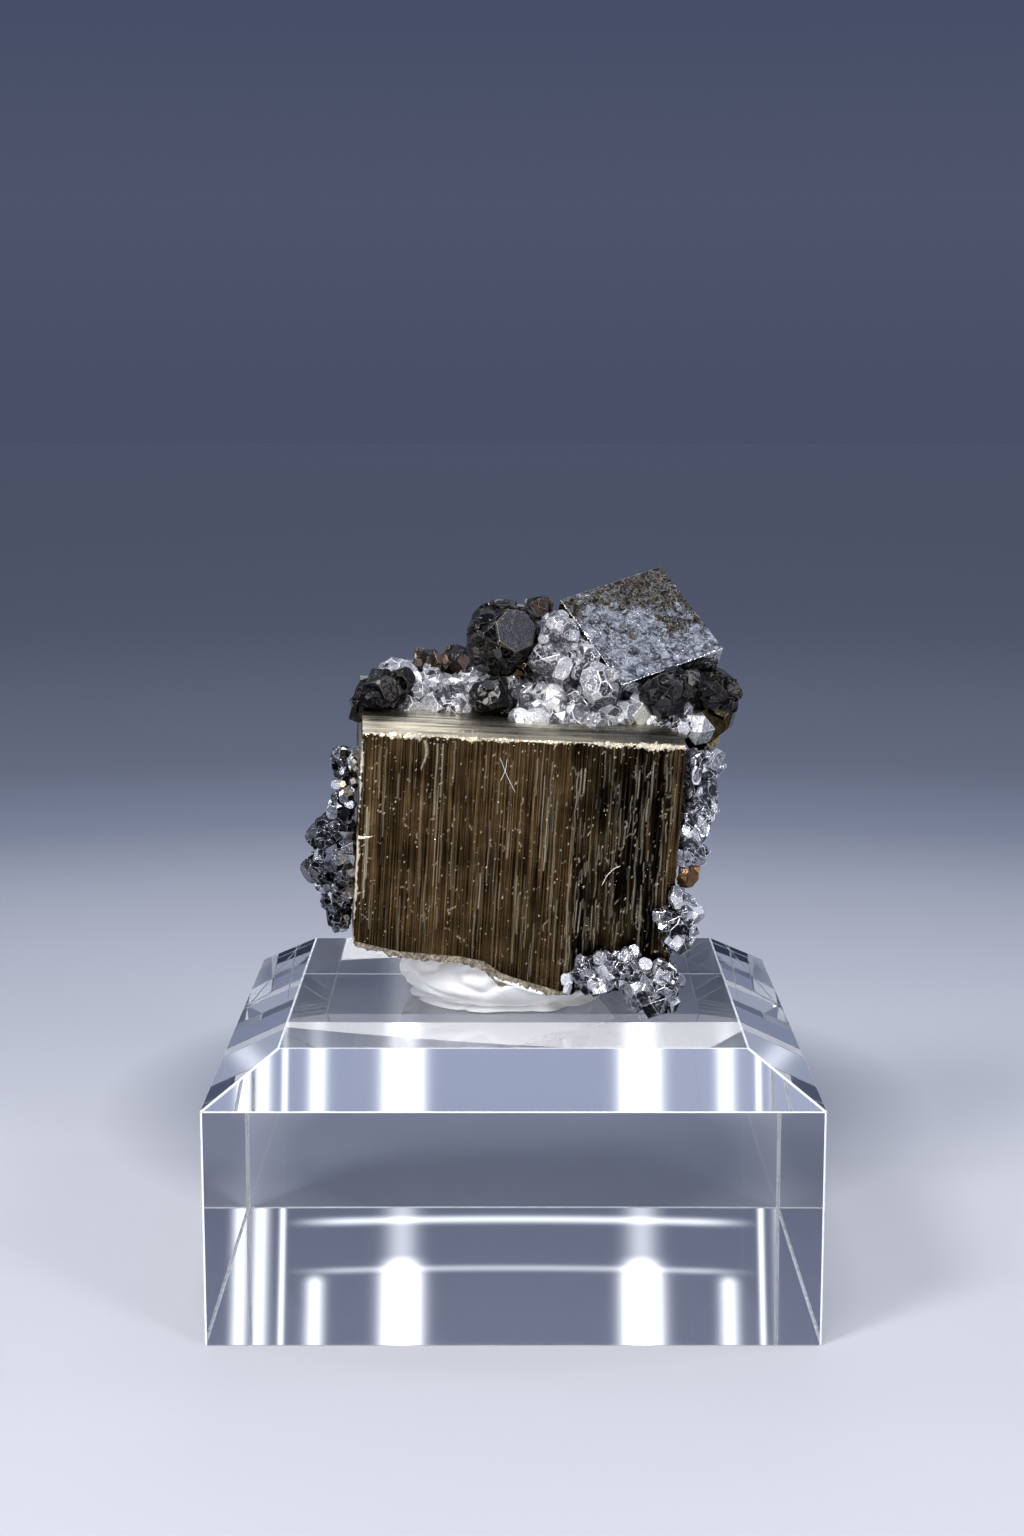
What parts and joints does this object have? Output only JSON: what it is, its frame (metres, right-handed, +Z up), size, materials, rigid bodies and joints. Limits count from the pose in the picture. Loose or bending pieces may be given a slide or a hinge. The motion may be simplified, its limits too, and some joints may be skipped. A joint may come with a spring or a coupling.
{
  "type": "pyrite and galena specimen",
  "caption": "Striated pyrite cube with a smaller cube, galena crystals and dark crystals grown on it, fixed with putty on a clear bevelled display block.",
  "frame": {"origin": "middle of the block's underside, on the surface that it stands on", "axes": "+Z up, -Y out of the front, towards the striated face of the large cube, +X to the viewer's right"},
  "size_m": [0.032, 0.032, 0.0388],
  "materials": {
    "acrylic": "clear, polished, with a few fine scratches",
    "putty": "white reusable putty, matte, with folds",
    "pyrite": "brassy metal lustre with fine parallel striations",
    "coated_pyrite": "grey metallic coating with fine etched lines over pyrite",
    "dark_crystal": "nearly black, glassy to metallic",
    "galena": "lead-grey bright metallic crystal faces",
    "brown_crystal": "brown resinous crystal",
    "matrix": "rough broken rock",
    "pale_crystal": "pale glassy crystal"
  },
  "bodies": {
    "root": {"acrylic_block": "acrylic", "mounting_putty": "putty", "main_pyrite_cube": "pyrite", "matrix_crust": "matrix", "upper_pyrite_cube": "coated_pyrite", "dark_ball_crystal": "dark_crystal", "side_pyrite_crystal": "pyrite", "embedded_dark_crystal": "dark_crystal", "corner_dark_crystals": "dark_crystal", "brown_crystal_left": "brown_crystal", "brown_crystal_right": "brown_crystal", "brown_crystal_back": "brown_crystal", "under_cube_dark_crystals": "dark_crystal", "top_galena_crust": "galena", "left_upper_galena": "galena", "left_galena_mass": "galena", "right_galena_slab": "galena", "right_brown_crystal": "brown_crystal", "lower_right_galena": "galena", "galena_ball_right": "galena", "galena_ball_left": "galena", "galena_ball_middle": "galena", "white_crystals": "pale_crystal", "back_galena_patch": "galena", "back_lower_galena": "galena"}
  },
  "joints": []
}
